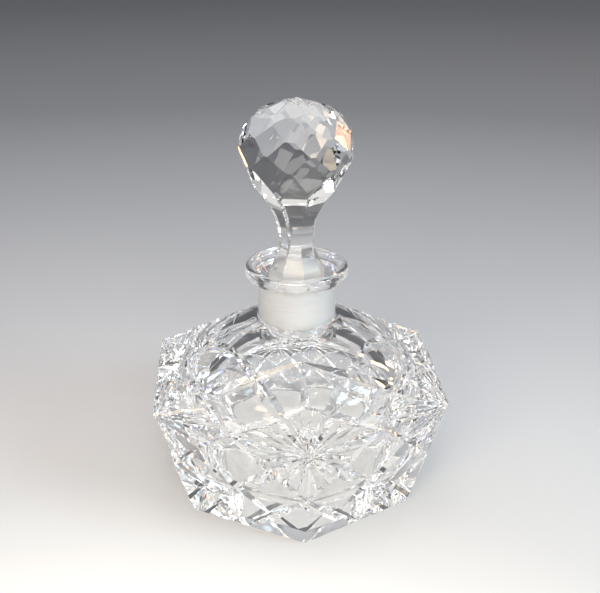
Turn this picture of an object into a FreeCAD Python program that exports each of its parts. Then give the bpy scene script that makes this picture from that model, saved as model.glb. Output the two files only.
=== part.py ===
"""Cut crystal perfume bottle: a hollow hexagonal bottle and its faceted stopper. Millimetres, +Z up.

The origin is the middle of the face that the bottle stands on. Two corners of the hexagon lie on the Y axis.
"""

import FreeCAD, Part
import math
import os

import Sketcher
from FreeCAD import Placement, Rotation, Vector

SIDES = 6
FACETS = 8

# where the fan cuts of a corner end, as shares of the line from the girdle's middle to the ridge's middle
UPPER_FAN = (0.16, 0.32, 0.48, 0.79, 0.895)
LOWER_FAN = (0.19, 0.38, 0.71, 0.855)
# a fan cut starts this share of its length away from the corner
FAN_START = 0.05
# where the long cuts of a lower face end, as (u, v) on that face
DIAGONAL_END = (0.734, 0.216)

STEM_SECTIONS = range(1, 8)
# rows of facets above the ball's band, and whether they sit half a facet round from the flats of the stem
BALL_ROWS = (
    ("low", False),
    ("belly", True),
    ("equator", False),
    ("upper", True),
    ("crown", False),
    ("star", True),
    ("tip", False),
)

SIZES = {
    # hexagonal body: corner radius of each level, and its height
    "base_corner": 36.6,
    "girdle_corner": 48.0,
    "girdle_height": 35.7,
    "shoulder_corner": 22.2,
    "shoulder_height": 49.8,
    # smooth shoulder, neck and lip
    "dome_height": 54.1,
    "dome_bend": 26.0,
    "dome_edge": 25.5,
    "dome_drop": 6.0,
    "root_fillet": 1.0,
    "neck_radius": 11.35,
    "lip_radius": 14.75,
    "lip_thickness": 4.0,
    "lip_round": 1.3,
    "bottle_height": 70.5,
    "rim_width": 2.2,
    "rim_round": 0.7,
    "dish_depth": 5.0,
    # ground bore and the hollow
    "bore_top": 8.6,
    "bore_foot": 7.6,
    "bore_end": 52.0,
    "throat_radius": 9.82,
    "throat_height": 49.1,
    "throat_bend": 3.0,
    "hollow_bend": 45.0,
    "wall_top_radius": 29.1,
    "wall_top": 38.28,
    "wall_bend": 11.0,
    "wall_low_radius": 32.12,
    "wall_low": 27.36,
    "floor_corner": 28.93,
    "floor_corner_height": 15.86,
    "floor_bend": 8.0,
    "floor_radius": 21.23,
    "floor_height": 10.0,
    # mitre cuts: depth of each kind half way along it, and half the angle of their V
    "diagonal_depth": 1.3,
    "lozenge_depth": 1.0,
    "ridge_depth": 1.1,
    "fan_depth": 0.5,
    "mitre_flank": 57.0,
    "wheel_reach": 3.5,
    "run_out": 1.0,
    # stopper
    "plug_gap": 0.05,
    "plug_foot": 50.6,
    "plug_chamfer": 0.6,
    "plug_shoulder": 0.3,
    "plug_top": 65.2,
    "stopper_turn": -11.0,
    # fluted stem: corner radius at the plug, then each section's height and corner radius, then at the ball
    "stem_foot": 8.2,
    "stem_height_1": 66.9,
    "stem_corner_1": 8.35,
    "stem_height_2": 70.3,
    "stem_corner_2": 7.4,
    "stem_height_3": 73.8,
    "stem_corner_3": 5.6,
    "stem_height_4": 77.3,
    "stem_corner_4": 5.02,
    "stem_height_5": 80.5,
    "stem_corner_5": 5.25,
    "stem_height_6": 83.9,
    "stem_corner_6": 6.0,
    "stem_height_7": 87.8,
    "stem_corner_7": 7.67,
    "stem_head": 9.2,
    # ball: tilt of each row of facets above the horizon, and how far the facets are from the ball's centre
    "ball_centre": 103.6,
    "ball_stem_drop": 13.1,
    "band_tilt": -39.0,
    "low_tilt": -31.0,
    "low_reach": 14.47,
    "belly_tilt": -18.8,
    "belly_reach": 14.6,
    "equator_tilt": 5.1,
    "equator_reach": 15.35,
    "upper_tilt": 26.8,
    "upper_reach": 15.45,
    "crown_tilt": 43.3,
    "crown_reach": 15.0,
    "star_tilt": 62.7,
    "star_reach": 14.5,
    "tip_tilt": 71.0,
    "tip_reach": 13.9,
}


class Size:
    """A length that knows its value now and the spreadsheet expression that gives it."""

    def __init__(self, text, value):
        self.text = text
        self.value = value

    def joined(self, sign, other, value):
        return Size(f"({self.text} {sign} {other.text})", value)

    def __add__(self, other):
        other = as_size(other)
        return self.joined("+", other, self.value + other.value)

    def __sub__(self, other):
        other = as_size(other)
        return self.joined("-", other, self.value - other.value)

    def __mul__(self, factor):
        factor = as_size(factor)
        return self.joined("*", factor, self.value * factor.value)


def as_size(number):
    if isinstance(number, Size):
        return number
    return Size(f"({number:.9f})", float(number))


def cell(name):
    """What the spreadsheet holds under that name."""
    return float(FreeCAD.ActiveDocument.getObject("sizes").get(name))


def size(name):
    return Size(f"sizes.{name}", cell(name))


def make_sheet(doc):
    sheet = doc.addObject("Spreadsheet::Sheet", "sizes")
    for row, (name, value) in enumerate(SIZES.items(), start=1):
        sheet.set(f"A{row}", name)
        sheet.set(f"B{row}", str(value))
        sheet.setAlias(f"B{row}", name)
    doc.recompute()
    return sheet


def origin_item(body, role):
    return next(item for item in body.Origin.OriginFeatures if item.Role == role)


def new_sketch(body, name, role, place=None, height=None):
    sketch = body.newObject("Sketcher::SketchObject", name)
    sketch.AttachmentSupport = [(origin_item(body, role), "")]
    sketch.MapMode = "FlatFace"
    if place is not None:
        sketch.AttachmentOffset = place
    if height is not None:
        sketch.AttachmentOffset = Placement(Vector(0, 0, height.value), Rotation())
        sketch.setExpression("AttachmentOffset.Base.z", height.text)
    return sketch


def arc_between(start, end, radius):
    """The short arc from start to end, with its centre on the left for a positive radius, else the right."""
    half = (end - start) * 0.5
    left = Vector(-half.y, half.x, 0).normalize()
    inset = math.sqrt(radius * radius - half.Length ** 2)
    centre = start + half + left * math.copysign(inset, radius)
    circle = Part.Circle(centre, Vector(0, 0, 1), abs(radius))
    first, last = (start, end) if radius > 0 else (end, start)
    return Part.ArcOfCircle(circle, circle.parameter(first), circle.parameter(last))


def draw_outline(sketch, outline):
    """Closed outline of (x, y, bend), where bend is the radius of the edge that follows, or None if straight."""
    corners = [Vector(x.value, y.value, 0) for x, y, _ in outline]
    ends = []
    for index, (_, _, bend) in enumerate(outline):
        start = corners[index]
        end = corners[(index + 1) % len(corners)]
        if bend is None:
            sketch.addGeometry(Part.LineSegment(start, end))
            ends.append((1, 2))
        else:
            sketch.addGeometry(arc_between(start, end, bend.value))
            ends.append((1, 2) if bend.value > 0 else (2, 1))
    for index, (x, y, bend) in enumerate(outline):
        before = (index - 1) % len(outline)
        meeting = Sketcher.Constraint("Coincident", before, ends[before][1], index, ends[index][0])
        sketch.addConstraint(meeting)
        for axis, length in (("DistanceX", x), ("DistanceY", y)):
            number = sketch.addConstraint(
                Sketcher.Constraint(axis, -1, 1, index, ends[index][0], length.value)
            )
            sketch.setExpression(f"Constraints[{number}]", length.text)
        if bend is not None:
            number = sketch.addConstraint(Sketcher.Constraint("Radius", index, abs(bend.value)))
            sketch.setExpression(f"Constraints[{number}]", f"abs({bend.text})")


def polygon_sketch(body, name, corner_radius, height, count, turn=0):
    """Regular polygon parallel to the floor. One of its flats faces +X, or turn degrees round from there."""
    sketch = new_sketch(body, name, "XY_Plane", height=height)
    outline = []
    for index in range(count):
        angle = math.pi * (2 * index + 1) / count + math.radians(turn)
        outline.append((corner_radius * math.cos(angle), corner_radius * math.sin(angle), None))
    draw_outline(sketch, outline)
    return sketch


def loft(body, name, sketches, ruled):
    feature = body.newObject("PartDesign::AdditiveLoft", name)
    feature.Profile = sketches[0]
    feature.Sections = sketches[1:]
    feature.Ruled = ruled
    return feature


def spin(body, kind, name, outline):
    """Revolution or Groove of an outline drawn in the XZ plane, once round the Z axis."""
    sketch = new_sketch(body, name + "_profile", "XZ_Plane")
    draw_outline(sketch, outline)
    feature = body.newObject(kind, name)
    feature.Profile = sketch
    feature.ReferenceAxis = (sketch, ["V_Axis"])
    feature.Angle = 360
    return feature


def ring_pattern(body, name, features, count):
    pattern = body.newObject("PartDesign::PolarPattern", name)
    pattern.Originals = features
    pattern.Axis = (origin_item(body, "Z_Axis"), [""])
    pattern.Angle = 360
    pattern.Occurrences = count
    body.Tip = pattern
    return pattern


class Face:
    """One trapezoid of the body, facing +X. u runs 0 to 1 along it, and v from its lower to its upper edge."""

    def __init__(self, low_corner, low_height, high_corner, high_height):
        self.low = self.edge_end(low_corner, low_height)
        self.high = self.edge_end(high_corner, high_height)
        slope = self.high - self.low
        slope.y = 0
        self.normal = Vector(0, 1, 0).cross(slope).normalize()

    @staticmethod
    def edge_end(corner, height):
        half_side = math.pi / SIDES
        return Vector(corner * math.cos(half_side), corner * math.sin(half_side), height)

    def at(self, u, v):
        point = self.low + (self.high - self.low) * v
        return Vector(point.x, point.y * (2 * u - 1), point.z)

    def ridge_normal(self):
        """Half way between this face and the next one round."""
        next_normal = Rotation(Vector(0, 0, 1), 360 / SIDES).multVec(self.normal)
        return (self.normal + next_normal).normalize()


def mitre_cut(body, name, start, end, normal, depth):
    """A leaf-shaped V groove from start to end, as a wheel with a pointed rim leaves it.

    The groove is deepest half way, and runs out a little beyond both ends.
    """
    along = (end - start).normalize()
    half_length = (end - start).Length / 2 + cell("run_out")
    wheel = half_length ** 2 / (2 * depth.value)
    centre = (start + end) * 0.5 + normal * (wheel - depth.value)
    across = along.cross(normal).normalize()
    place = Placement(centre, Rotation(across, normal, Vector(), "XYZ"))
    sketch = new_sketch(body, name + "_rim", "XY_Plane", place)
    tip = as_size(-wheel)
    half_width = size("wheel_reach") * math.tan(math.radians(cell("mitre_flank")))
    draw_outline(
        sketch,
        [
            (as_size(0), tip, None),
            (half_width, tip + size("wheel_reach"), None),
            (half_width * -1, tip + size("wheel_reach"), None),
        ],
    )
    groove = body.newObject("PartDesign::Groove", name)
    groove.Profile = sketch
    groove.ReferenceAxis = (sketch, ["H_Axis"])
    groove.Angle = 2 * math.degrees(math.asin((half_length + cell("run_out")) / wheel))
    groove.Midplane = True
    return groove


def fan_cuts(kind, face, corner, middle, ridge_middle, shares):
    """Fine cuts from a corner of the girdle to points along the line from middle to ridge_middle."""
    ends = [middle + (ridge_middle - middle) * share for share in shares]
    depth = size("fan_depth")
    return [
        (f"{kind}_{number}", corner + (end - corner) * FAN_START, end, face.normal, depth)
        for number, end in enumerate(ends)
    ]


def face_cuts(upper, lower):
    """The cuts of one side of one upper and one lower face, as (name, start, end, normal, depth)."""
    diagonal = size("diagonal_depth")
    lozenge = size("lozenge_depth")
    cuts = [
        ("upper_diagonal", upper.at(0, 0), upper.at(1, 1), upper.normal, diagonal),
        ("upper_lozenge", upper.at(0.5, 0), upper.at(1, 0.5), upper.normal, lozenge),
        ("lower_diagonal", lower.at(0, 1), lower.at(*DIAGONAL_END), lower.normal, diagonal),
        ("lower_lozenge_top", lower.at(0.5, 1), lower.at(1, 0.5), lower.normal, lozenge),
        ("lower_lozenge_foot", lower.at(0.5, 0), lower.at(1, 0.5), lower.normal, lozenge),
    ]
    corner = upper.at(1, 0)
    middle = upper.at(0.5, 0)
    cuts += fan_cuts("upper_fan", upper, corner, middle, upper.at(1, 0.5), UPPER_FAN)
    cuts += fan_cuts("lower_fan", lower, corner, middle, lower.at(1, 0.5), LOWER_FAN)
    return cuts


def mirrored(vector):
    return Vector(vector.x, -vector.y, vector.z)


def cut_pattern(body):
    girdle = (cell("girdle_corner"), cell("girdle_height"))
    upper = Face(*girdle, cell("shoulder_corner"), cell("shoulder_height"))
    lower = Face(cell("base_corner"), 0, *girdle)
    grooves = []
    for name, start, end, normal, depth in face_cuts(upper, lower):
        grooves.append(mitre_cut(body, name + "_a", start, end, normal, depth))
        grooves.append(mitre_cut(body, name + "_b", mirrored(start), mirrored(end), normal, depth))
    ridge = size("ridge_depth")
    for name, face, end in (("upper_ridge", upper, (1, 1)), ("lower_ridge", lower, (1, 0.5))):
        grooves.append(mitre_cut(body, name, upper.at(1, 0), face.at(*end), face.ridge_normal(), ridge))
    return ring_pattern(body, "cuts_round_the_body", grooves, SIDES)


def make_bottle(doc):
    body = doc.addObject("PartDesign::Body", "bottle")
    zero = as_size(0)
    base = polygon_sketch(body, "base_hexagon", size("base_corner"), zero, SIDES)
    girdle = polygon_sketch(body, "girdle_hexagon", size("girdle_corner"), size("girdle_height"), SIDES)
    loft(body, "lower_tier", [base, girdle], True)

    # the upper faces run on at their own slope to the root of the neck, where the dome trims them
    rise = cell("shoulder_height") - cell("girdle_height")
    growth = (cell("dome_height") - cell("girdle_height")) / rise
    root_corner = size("girdle_corner") + (size("shoulder_corner") - size("girdle_corner")) * growth
    girdle_corner = size("girdle_corner")
    girdle_again = polygon_sketch(body, "upper_girdle_hexagon", girdle_corner, size("girdle_height"), SIDES)
    root_hexagon = polygon_sketch(body, "root_hexagon", root_corner, size("dome_height"), SIDES)
    loft(body, "upper_tier", [girdle_again, root_hexagon], True)

    top = size("bottle_height")
    lip = size("lip_radius")
    neck = size("neck_radius")
    rounding = size("lip_round")
    under_lip = top - size("lip_thickness")
    root = neck + size("root_fillet")
    spin(
        body,
        "PartDesign::Revolution",
        "neck_and_lip",
        [
            (zero, size("girdle_height"), None),
            (root, size("girdle_height"), None),
            (root, size("dome_height"), size("root_fillet") * -1),
            (neck, size("dome_height") + size("root_fillet"), None),
            (neck, under_lip, None),
            (lip - rounding, under_lip, rounding),
            (lip, under_lip + rounding, None),
            (lip, top - rounding, rounding),
            (lip - rounding, top, None),
            (zero, top, None),
        ],
    )
    clearance = size("root_fillet")
    outside = lip * 3
    dome_foot = size("dome_height") - size("dome_drop")
    spin(
        body,
        "PartDesign::Groove",
        "shoulder_dome",
        [
            (root, size("dome_height"), size("dome_bend") * -1),
            (size("dome_edge"), dome_foot, None),
            (outside, dome_foot, None),
            (outside, size("dome_height") + clearance, None),
            (root, size("dome_height") + clearance, None),
        ],
    )
    dish_radius = lip - size("rim_width")
    rim_round = size("rim_round")
    dish_floor = top - size("dish_depth")
    spin(
        body,
        "PartDesign::Groove",
        "dish_bore_and_hollow",
        [
            (zero, top + clearance, None),
            (dish_radius + rim_round, top + clearance, None),
            (dish_radius + rim_round, top, rim_round),
            (dish_radius, top - rim_round, None),
            (size("bore_top") + rim_round, dish_floor, rim_round),
            (size("bore_top"), dish_floor - rim_round, None),
            (size("bore_foot"), size("bore_end"), size("throat_bend")),
            (size("throat_radius"), size("throat_height"), size("hollow_bend") * -1),
            (size("wall_top_radius"), size("wall_top"), size("wall_bend") * -1),
            (size("wall_low_radius"), size("wall_low"), None),
            (size("floor_corner"), size("floor_corner_height"), size("floor_bend") * -1),
            (size("floor_radius"), size("floor_height"), None),
            (zero, size("floor_height"), None),
        ],
    )
    cut_pattern(body)
    return body


def ball_rows():
    """The ball's rows of facets, as (tilt, distance from the ball's centre, turn in facets)."""
    tilt = math.radians(cell("band_tilt"))
    stem_flat = cell("stem_head") * math.cos(math.pi / FACETS)
    band_reach = stem_flat * math.cos(tilt) - cell("ball_stem_drop") * math.sin(tilt)
    rows = [(cell("band_tilt"), band_reach, 0)]
    for name, is_between in BALL_ROWS:
        rows.append((cell(name + "_tilt"), cell(name + "_reach"), 0.5 if is_between else 0))
    return rows


def ball_shape():
    """A block cut down by rows of flat facets. Its lowest row, the band, meets the top edges of the stem."""
    centre = Vector(0, 0, cell("ball_centre"))
    drop = cell("ball_stem_drop")
    room = 2 * cell("equator_reach")
    ball = Part.makeBox(2 * room, 2 * room, drop + room, centre - Vector(room, room, drop))
    for tilt, reach, offset in ball_rows():
        for index in range(FACETS):
            turn = cell("stopper_turn") + 360 / FACETS * (index + offset)
            waste = Part.makeBox(2 * room, 4 * room, 4 * room, Vector(reach, -2 * room, -2 * room))
            facing = Rotation(Vector(0, 0, 1), turn) * Rotation(Vector(0, 1, 0), -tilt)
            waste.Placement = Placement(centre, facing)
            ball = ball.cut(waste)
    return ball


def make_stopper(doc):
    ball = doc.addObject("Part::Feature", "ball")
    ball.Shape = ball_shape()

    shank = doc.addObject("PartDesign::Body", "shank")
    zero = as_size(0)
    gap = size("plug_gap")
    chamfer = size("plug_chamfer")
    shoulder = size("plug_shoulder")
    straight_top = size("bottle_height") - size("dish_depth") - size("rim_round")
    taper = (cell("bore_top") - cell("bore_foot")) / (straight_top.value - cell("bore_end"))

    def plug_radius(height):
        """The bore's own taper, one gap inside it."""
        return size("bore_foot") - gap + (height - size("bore_end")) * taper

    foot_height = size("plug_foot") + chamfer
    shoulder_height = size("plug_top") - shoulder
    spin(
        shank,
        "PartDesign::Revolution",
        "plug",
        [
            (zero, size("plug_foot"), None),
            (plug_radius(foot_height) - chamfer, size("plug_foot"), None),
            (plug_radius(foot_height), foot_height, None),
            (plug_radius(shoulder_height), shoulder_height, None),
            (plug_radius(shoulder_height) - shoulder, size("plug_top"), None),
            (zero, size("plug_top"), None),
        ],
    )
    levels = [(size("stem_foot"), size("plug_top"))]
    for number in STEM_SECTIONS:
        levels.append((size(f"stem_corner_{number}"), size(f"stem_height_{number}")))
    levels.append((size("stem_head"), size("ball_centre") - size("ball_stem_drop")))
    turn = cell("stopper_turn")
    sections = [
        polygon_sketch(shank, f"stem_section_{number}", corner, height, FACETS, turn)
        for number, (corner, height) in enumerate(levels)
    ]
    loft(shank, "stem", sections, False)

    stopper = doc.addObject("Part::Fuse", "stopper")
    stopper.Base = shank
    stopper.Tool = ball
    return stopper


def check(doc):
    for item in doc.Objects:
        if "Invalid" in item.State or "Error" in item.State:
            raise RuntimeError(f"{item.Name} did not build: {item.State}")


def main():
    doc = FreeCAD.newDocument("perfume_bottle")
    make_sheet(doc)
    parts = [make_bottle(doc), make_stopper(doc)]
    doc.recompute()
    check(doc)
    os.makedirs("parts", exist_ok=True)
    for part in parts:
        if part.Shape.isNull() or not part.Shape.isValid() or len(part.Shape.Solids) != 1:
            raise RuntimeError(f"{part.Label} is not one valid solid")
        part.Shape.exportStep(f"parts/{part.Label}.step")
        print(part.Label, f"{part.Shape.Volume / 1000:.2f} cm3", len(part.Shape.Faces), "faces")


main()
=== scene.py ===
import math

import bpy
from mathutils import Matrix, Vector

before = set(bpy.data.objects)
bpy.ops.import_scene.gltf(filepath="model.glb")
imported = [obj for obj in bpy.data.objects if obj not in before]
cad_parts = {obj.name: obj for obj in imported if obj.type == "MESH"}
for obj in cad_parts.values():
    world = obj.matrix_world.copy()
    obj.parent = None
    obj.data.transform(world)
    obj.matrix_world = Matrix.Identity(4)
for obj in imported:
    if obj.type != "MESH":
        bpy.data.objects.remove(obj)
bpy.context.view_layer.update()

MM = 0.001
CRYSTAL_IOR = 1.545
CRYSTAL_COLOUR = (0.995, 0.997, 0.997)


# ---------------------------------------------------------------- materials


def principled(name, colour, roughness, **inputs):
    """A material with one Principled shader whose sockets hold plain values."""
    material = bpy.data.materials.new(name)
    material.use_nodes = True
    shader = material.node_tree.nodes["Principled BSDF"]
    shader.inputs["Base Color"].default_value = (*colour, 1.0)
    shader.inputs["Roughness"].default_value = roughness
    for socket, value in inputs.items():
        shader.inputs[socket.replace("_", " ")].default_value = value
    return material


def glass(name):
    """Clear polished crystal."""
    return principled(name, CRYSTAL_COLOUR, 0.0, IOR=CRYSTAL_IOR, Transmission_Weight=1.0)


CLEAR = glass("clear_crystal")

# the grinding leaves fine rings round the axis: how often the grain changes per metre along x, y and z
GRAIN_SCALE = (160.0, 160.0, 2400.0)
GRAIN_DETAIL = 3.0
GRAIN_DARK = (0.93, 0.93, 0.925)
GRAIN_LIGHT = (1.0, 1.0, 0.995)
# the part of the noise's range over which the grain goes from dark to light
GRAIN_RANGE = (0.3, 0.7)
# how strongly the grain tilts the surface, and how deep it is, in metres
GRAIN_TILT = 0.3
GRAIN_DEPTH = 0.00006


def ground_glass(name, roughness, transmission, ior):
    """Glass that is ground matt, with the fine rings that the grinding leaves."""
    material = principled(name, GRAIN_LIGHT, roughness, Transmission_Weight=transmission, IOR=ior)
    nodes, links = material.node_tree.nodes, material.node_tree.links
    place = nodes.new("ShaderNodeTexCoord")
    stretch = nodes.new("ShaderNodeMapping")
    stretch.inputs["Scale"].default_value = GRAIN_SCALE
    grain = nodes.new("ShaderNodeTexNoise")
    grain.inputs["Scale"].default_value = 1.0
    grain.inputs["Detail"].default_value = GRAIN_DETAIL
    tone = nodes.new("ShaderNodeValToRGB")
    for stop, position, colour in zip(tone.color_ramp.elements, GRAIN_RANGE, (GRAIN_DARK, GRAIN_LIGHT)):
        stop.position = position
        stop.color = (*colour, 1.0)
    bump = nodes.new("ShaderNodeBump")
    bump.inputs["Strength"].default_value = GRAIN_TILT
    bump.inputs["Distance"].default_value = GRAIN_DEPTH
    shader = nodes["Principled BSDF"]
    links.new(place.outputs["Object"], stretch.inputs["Vector"])
    links.new(stretch.outputs["Vector"], grain.inputs["Vector"])
    links.new(grain.outputs["Fac"], tone.inputs["Fac"])
    links.new(grain.outputs["Fac"], bump.inputs["Height"])
    links.new(tone.outputs["Color"], shader.inputs["Base Color"])
    links.new(bump.outputs["Normal"], shader.inputs["Normal"])
    return material


# the neck is matt and white through the glass in front of it; the plug lets more light through
GROUND_NECK = ground_glass("ground_neck", roughness=0.9, transmission=0.08, ior=1.1)
GROUND_PLUG = ground_glass("ground_plug", roughness=0.6, transmission=0.45, ior=1.3)

# heights between which the stem goes from frosted to clear, in metres
FROST_START = 0.067
FROST_END = 0.076
FROST_ROUGHNESS = 0.35


def stem_glass():
    """Clear crystal that turns frosted down the foot of the stem, where the grinding of the plug ends."""
    material = glass("stopper_crystal")
    nodes, links = material.node_tree.nodes, material.node_tree.links
    place = nodes.new("ShaderNodeTexCoord")
    split = nodes.new("ShaderNodeSeparateXYZ")
    frost = nodes.new("ShaderNodeMapRange")
    frost.interpolation_type = "SMOOTHSTEP"
    frost.inputs["From Min"].default_value = FROST_END
    frost.inputs["From Max"].default_value = FROST_START
    frost.inputs["To Min"].default_value = 0.0
    frost.inputs["To Max"].default_value = FROST_ROUGHNESS
    links.new(place.outputs["Object"], split.inputs[0])
    links.new(split.outputs["Z"], frost.inputs["Value"])
    links.new(frost.outputs["Result"], nodes["Principled BSDF"].inputs["Roughness"])
    return material


STEM = stem_glass()

# paper tone by distance behind the middle of the object, in metres: white in front, dark grey far away;
# the tones are partly the paper's grading and partly painted light, a painted pool of light in front
# fading to painted shade far away
PAINTED_LIGHT_TONES = (
    (-0.055, 0.83),
    (-0.03, 0.72),
    (0.0, 0.63),
    (0.05, 0.585),
    (0.13, 0.49),
    (0.27, 0.385),
    (0.5, 0.25),
    (1.05, 0.178),
)
# the tones are measured straight behind this point of the paper, and run in rings round it: this point is
# the middle of the painted pool of light
PAINTED_POOL_CENTRE = (-0.045, -0.17)
# the paper is matt; the colour ramp replaces the plain grey
PLAIN_GREY = (0.8, 0.8, 0.8)
PAPER_ROUGHNESS = 0.9
PAPER_GLOSS = 0.1
# its tint, a little warm in front and a little cool far away
WARM = (1.03, 1.0, 0.96)
COOL = (0.96, 1.0, 1.1)


def paper_with_painted_light():
    """Graduated paper with painted light: a painted pool of light in front of the object, fading to dark
    grey far behind it.
    """
    material = principled("graduated_paper_painted_light", PLAIN_GREY, PAPER_ROUGHNESS, Specular_IOR_Level=PAPER_GLOSS)
    nodes, links = material.node_tree.nodes, material.node_tree.links
    place = nodes.new("ShaderNodeTexCoord")
    reach = nodes.new("ShaderNodeVectorMath")
    reach.operation = "DISTANCE"
    reach.inputs[1].default_value = (*PAINTED_POOL_CENTRE, 0.0)
    span = nodes.new("ShaderNodeMapRange")
    ramp = nodes.new("ShaderNodeValToRGB")
    near, far = PAINTED_LIGHT_TONES[0][0], PAINTED_LIGHT_TONES[-1][0]
    span.inputs["From Min"].default_value = near - PAINTED_POOL_CENTRE[1]
    span.inputs["From Max"].default_value = far - PAINTED_POOL_CENTRE[1]
    links.new(place.outputs["Object"], reach.inputs[0])
    links.new(reach.outputs["Value"], span.inputs["Value"])
    links.new(span.outputs["Result"], ramp.inputs["Fac"])
    stops = ramp.color_ramp.elements
    while len(stops) < len(PAINTED_LIGHT_TONES):
        stops.new(0.5)
    # the stops put the painted pool of light and its painted fall-off into the paper's colour
    for number, (distance, tone) in enumerate(PAINTED_LIGHT_TONES):
        share = number / (len(PAINTED_LIGHT_TONES) - 1)
        tint = [warm + (cool - warm) * share for warm, cool in zip(WARM, COOL)]
        stops[number].position = (distance - near) / (far - near)
        stops[number].color = (*[min(tone * part, 1.0) for part in tint], 1.0)
    links.new(ramp.outputs["Color"], nodes["Principled BSDF"].inputs["Base Color"])
    return material


# ---------------------------------------------------------------- the object


def dress(node, crystal, ground, is_ground):
    """Crystal everywhere on a CAD node, and the ground material on the faces that is_ground picks."""
    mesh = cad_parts[node].data
    mesh.materials.clear()
    mesh.materials.append(crystal)
    mesh.materials.append(ground)
    for face in mesh.polygons:
        face.material_index = 1 if is_ground(face.center) else 0


# where the ground faces of the bore and the plug are, in metres
BORE_FOOT = 0.052
PLUG_FOOT = 0.0512
GROUND_TOP = 0.0649
BORE_WIDEST = 0.0087
PLUG_NARROWEST = 0.0074


def in_bore(centre):
    """Whether a face of the bottle belongs to the ground inside of the neck."""
    return BORE_FOOT < centre.z < GROUND_TOP and math.hypot(centre.x, centre.y) < BORE_WIDEST


def on_plug(centre):
    """Whether a face of the stopper belongs to the ground side of the plug."""
    return PLUG_FOOT < centre.z < GROUND_TOP and math.hypot(centre.x, centre.y) > PLUG_NARROWEST


dress("bottle", CLEAR, GROUND_NECK, in_bore)
dress("stopper", STEM, GROUND_PLUG, on_plug)


# ---------------------------------------------------------------- the studio

# air between the paper and the glass base, so that light leaves the glass before it meets the paper
FLOOR_GAP = 0.0004
# rows of points of the flat part of the paper, from its front edge to where it bends up
FLAT_STOPS = (-1.2, -0.3, 0.3, 1.2)
BEND_RADIUS = 0.5
BEND_STEPS = 12
PAPER_TOP = 1.15
PAPER_HALF_WIDTH = 2.6
CARD_RADIUS = 0.03
CARD_CORNERS = 48
# the card glows though it is no lamp: painted light under the glass base
CARD_GLOW = 0.25


def sweep():
    """Paper that lies on the table and curves up behind it, as one strip of quads."""
    outline = [(stop, -FLOOR_GAP) for stop in FLAT_STOPS]
    bend_start = FLAT_STOPS[-1]
    for step in range(1, BEND_STEPS + 1):
        turn = math.radians(90) * step / BEND_STEPS
        rise = BEND_RADIUS * (1 - math.cos(turn))
        outline.append((bend_start + BEND_RADIUS * math.sin(turn), rise - FLOOR_GAP))
    outline.append((bend_start + BEND_RADIUS, PAPER_TOP))
    points = [(side * PAPER_HALF_WIDTH, y, z) for y, z in outline for side in (-1, 1)]
    quads = [(2 * i, 2 * i + 1, 2 * i + 3, 2 * i + 2) for i in range(len(outline) - 1)]
    mesh = bpy.data.meshes.new("paper")
    mesh.from_pydata(points, [], quads)
    mesh.shade_smooth()
    mesh.materials.append(paper_with_painted_light())
    sheet = bpy.data.objects.new("paper", mesh)
    bpy.context.scene.collection.objects.link(sheet)
    return sheet


def card():
    """A white card under the glass base that glows though it is no lamp: painted light that brightens the
    inside of the bottle from below.
    """
    points = []
    for corner in range(CARD_CORNERS):
        turn = math.tau * corner / CARD_CORNERS
        points.append((CARD_RADIUS * math.cos(turn), CARD_RADIUS * math.sin(turn), -FLOOR_GAP / 2))
    mesh = bpy.data.meshes.new("card")
    mesh.from_pydata(points, [], [tuple(range(CARD_CORNERS))])
    white = principled("glowing_card_painted_light", (0.97, 0.96, 0.93), PAPER_ROUGHNESS, Specular_IOR_Level=PAPER_GLOSS)
    shader = white.node_tree.nodes["Principled BSDF"]
    # painted light: the card's warm white glow
    shader.inputs["Emission Color"].default_value = (1.0, 0.98, 0.94, 1.0)
    shader.inputs["Emission Strength"].default_value = CARD_GLOW
    mesh.materials.append(white)
    disc = bpy.data.objects.new("card", mesh)
    bpy.context.scene.collection.objects.link(disc)
    return disc


def soft_box(name, place, aim, width, height, power, colour):
    """A rectangular area light at place, facing aim."""
    lamp = bpy.data.lights.new(name, "AREA")
    lamp.shape = "RECTANGLE"
    lamp.size, lamp.size_y = width, height
    lamp.energy = power
    lamp.color = colour
    holder = bpy.data.objects.new(name, lamp)
    holder.location = place
    holder.rotation_euler = (Vector(aim) - Vector(place)).to_track_quat("-Z", "Y").to_euler()
    bpy.context.scene.collection.objects.link(holder)
    return holder


# soft boxes: name, place and aim in metres, width and height in metres, power in watts, colour
SOFT_BOXES = (
    ("right_light", (0.70, -0.42, 0.42), (0, 0, 0.04), 0.35, 0.35, 4.8, (0.66, 0.86, 1.0)),
    ("left_light", (-0.42, -0.70, 0.42), (0, 0, 0.04), 0.35, 0.35, 3.2, (1.0, 0.82, 0.60)),
    ("front_light", (-0.05, -0.80, 0.40), (0, 0, 0.05), 0.6, 0.6, 4.1, (1.0, 0.965, 0.92)),
    ("orange_strip", (0.9, 0.5, 0.3), (0, 0, 0.08), 0.08, 0.5, 0.8, (1.0, 0.5, 0.2)),
    ("violet_strip", (-0.9, 0.4, 0.3), (0, 0, 0.08), 0.08, 0.5, 0.8, (0.45, 0.5, 1.0)),
    ("top_light", (-0.05, -0.05, 0.8), (0, 0, 0), 0.3, 0.3, 0.6, (1.0, 0.99, 0.98)),
)

sweep()
card()
for box in SOFT_BOXES:
    soft_box(*box)

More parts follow.
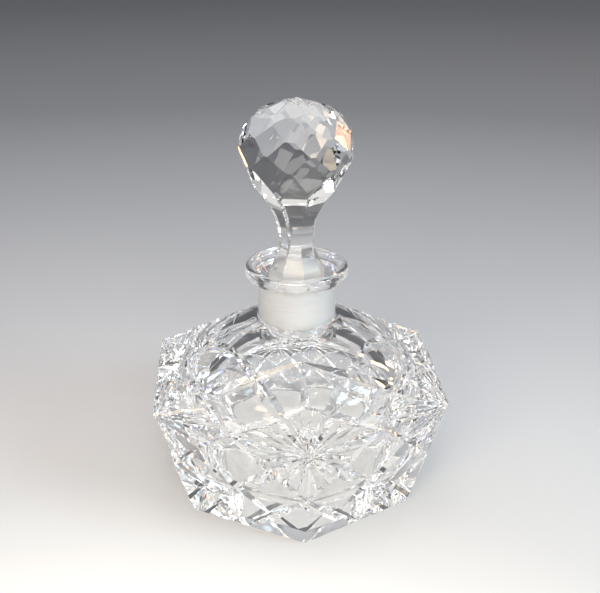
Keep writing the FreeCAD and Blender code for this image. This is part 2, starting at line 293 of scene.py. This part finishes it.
# the room is dim up to the first upward part of a direction, and a bright ceiling from the second
DIM_BELOW = 0.45
BRIGHT_ABOVE = 0.62
DIM = (0.345, 0.35, 0.365, 1.0)
BRIGHT = (0.785, 0.77, 0.75, 1.0)


def studio_world():
    """A dim room with a bright ceiling."""
    world = bpy.data.worlds.new("studio")
    world.use_nodes = True
    nodes, links = world.node_tree.nodes, world.node_tree.links
    direction = nodes.new("ShaderNodeTexCoord")
    split = nodes.new("ShaderNodeSeparateXYZ")
    span = nodes.new("ShaderNodeMapRange")
    span.inputs["From Min"].default_value = DIM_BELOW
    span.inputs["From Max"].default_value = BRIGHT_ABOVE
    ramp = nodes.new("ShaderNodeValToRGB")
    ramp.color_ramp.elements[0].color = DIM
    ramp.color_ramp.elements[1].color = BRIGHT
    links.new(direction.outputs["Generated"], split.inputs[0])
    links.new(split.outputs["Z"], span.inputs["Value"])
    links.new(span.outputs["Result"], ramp.inputs["Fac"])
    links.new(ramp.outputs["Color"], nodes["Background"].inputs["Color"])
    return world


bpy.context.scene.world = studio_world()


# ---------------------------------------------------------------- the camera

# fitted to the corners of the hexagonal body
CAMERA_PLACE = (-17.59 * MM, -269.39 * MM, 178.79 * MM)
CAMERA_TILT_DOWN = math.radians(23.785)
CAMERA_TURN = math.radians(-3.942)
LENS = 60.79
SENSOR = 36.0

camera_data = bpy.data.cameras.new("camera")
camera_data.sensor_width = SENSOR
camera_data.lens = LENS
camera_data.clip_start = 10 * MM
camera = bpy.data.objects.new("camera", camera_data)
camera.location = CAMERA_PLACE
camera.rotation_euler = (math.radians(90) - CAMERA_TILT_DOWN, 0.0, CAMERA_TURN)
bpy.context.scene.collection.objects.link(camera)
bpy.context.scene.camera = camera

# light crosses many faces of cut glass before it leaves
GLASS_BOUNCES = 28
OTHER_BOUNCES = 12

scene = bpy.context.scene
scene.view_settings.view_transform = "Standard"
scene.cycles.max_bounces = GLASS_BOUNCES
scene.cycles.transmission_bounces = GLASS_BOUNCES
scene.cycles.glossy_bounces = OTHER_BOUNCES
scene.cycles.diffuse_bounces = OTHER_BOUNCES
